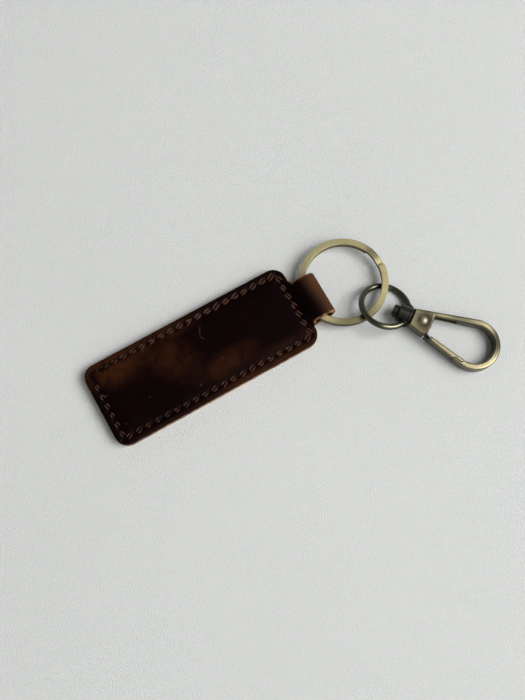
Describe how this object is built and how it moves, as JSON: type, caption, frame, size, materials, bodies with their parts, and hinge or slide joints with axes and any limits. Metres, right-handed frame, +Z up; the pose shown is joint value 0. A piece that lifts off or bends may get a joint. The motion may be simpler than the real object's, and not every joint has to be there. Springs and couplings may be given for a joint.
{
  "type": "leather key fob with split ring and swivel snap hook",
  "caption": "Stitched rectangular leather key fob whose folded neck holds a split ring, with a swivel snap hook linked to the ring.",
  "frame": {"origin": "middle of the leather fob's back face, which lies on the table", "axes": "+X along the fob towards its ring, +Y across the fob, +Z up through its front face"},
  "size_m": [0.1253, 0.064, 0.008],
  "materials": {
    "leather": "waxed pull-up",
    "thread": "waxed",
    "antique_brass_bright": "brushed antique",
    "antique_brass": "brushed antique",
    "gunmetal_plate": "dark plated",
    "spring_wire": "plain wire"
  },
  "bodies": {
    "fob": {"folded_leather": "leather", "needle_thread": "thread", "bobbin_thread": "thread"},
    "split_ring": {"split_ring": "antique_brass_bright"},
    "swivel_eye": {"swivel_ring": "gunmetal_plate", "swivel_barrel": "gunmetal_plate"},
    "hook": {"hook_body": "antique_brass", "swivel_rivet": "gunmetal_plate", "gate_rivet": "antique_brass", "gate_spring": "spring_wire"},
    "gate": {"gate": "antique_brass"}
  },
  "joints": [
    {"name": "ring_swing", "type": "hinge", "parent": "fob", "child": "split_ring", "pos_m": [0.04002, -0.0012, 0.00378], "axis": [0, -1, 0], "range_deg": [-100, 100]},
    {"name": "eye_travel", "type": "hinge", "parent": "split_ring", "child": "swivel_eye", "pos_m": [0.053, -0.0012, 0.00378], "axis": [0.0001, 0, 1], "range_deg": [-25, 150]},
    {"name": "hook_swivel", "type": "hinge", "parent": "swivel_eye", "child": "hook", "pos_m": [0.06625, -0.02269, 0.00354], "axis": [0.5914, -0.8051, -0.0466], "continuous": true},
    {"name": "gate_open", "type": "hinge", "parent": "hook", "child": "gate", "pos_m": [0.06888, -0.02564, 0.00336], "axis": [0.0276, -0.0376, 0.9989], "range_deg": [0, 30], "stiffness_Nm_per_rad": 0.035, "springref_deg": -28.65, "deforming": ["gate_spring"]}
  ]
}
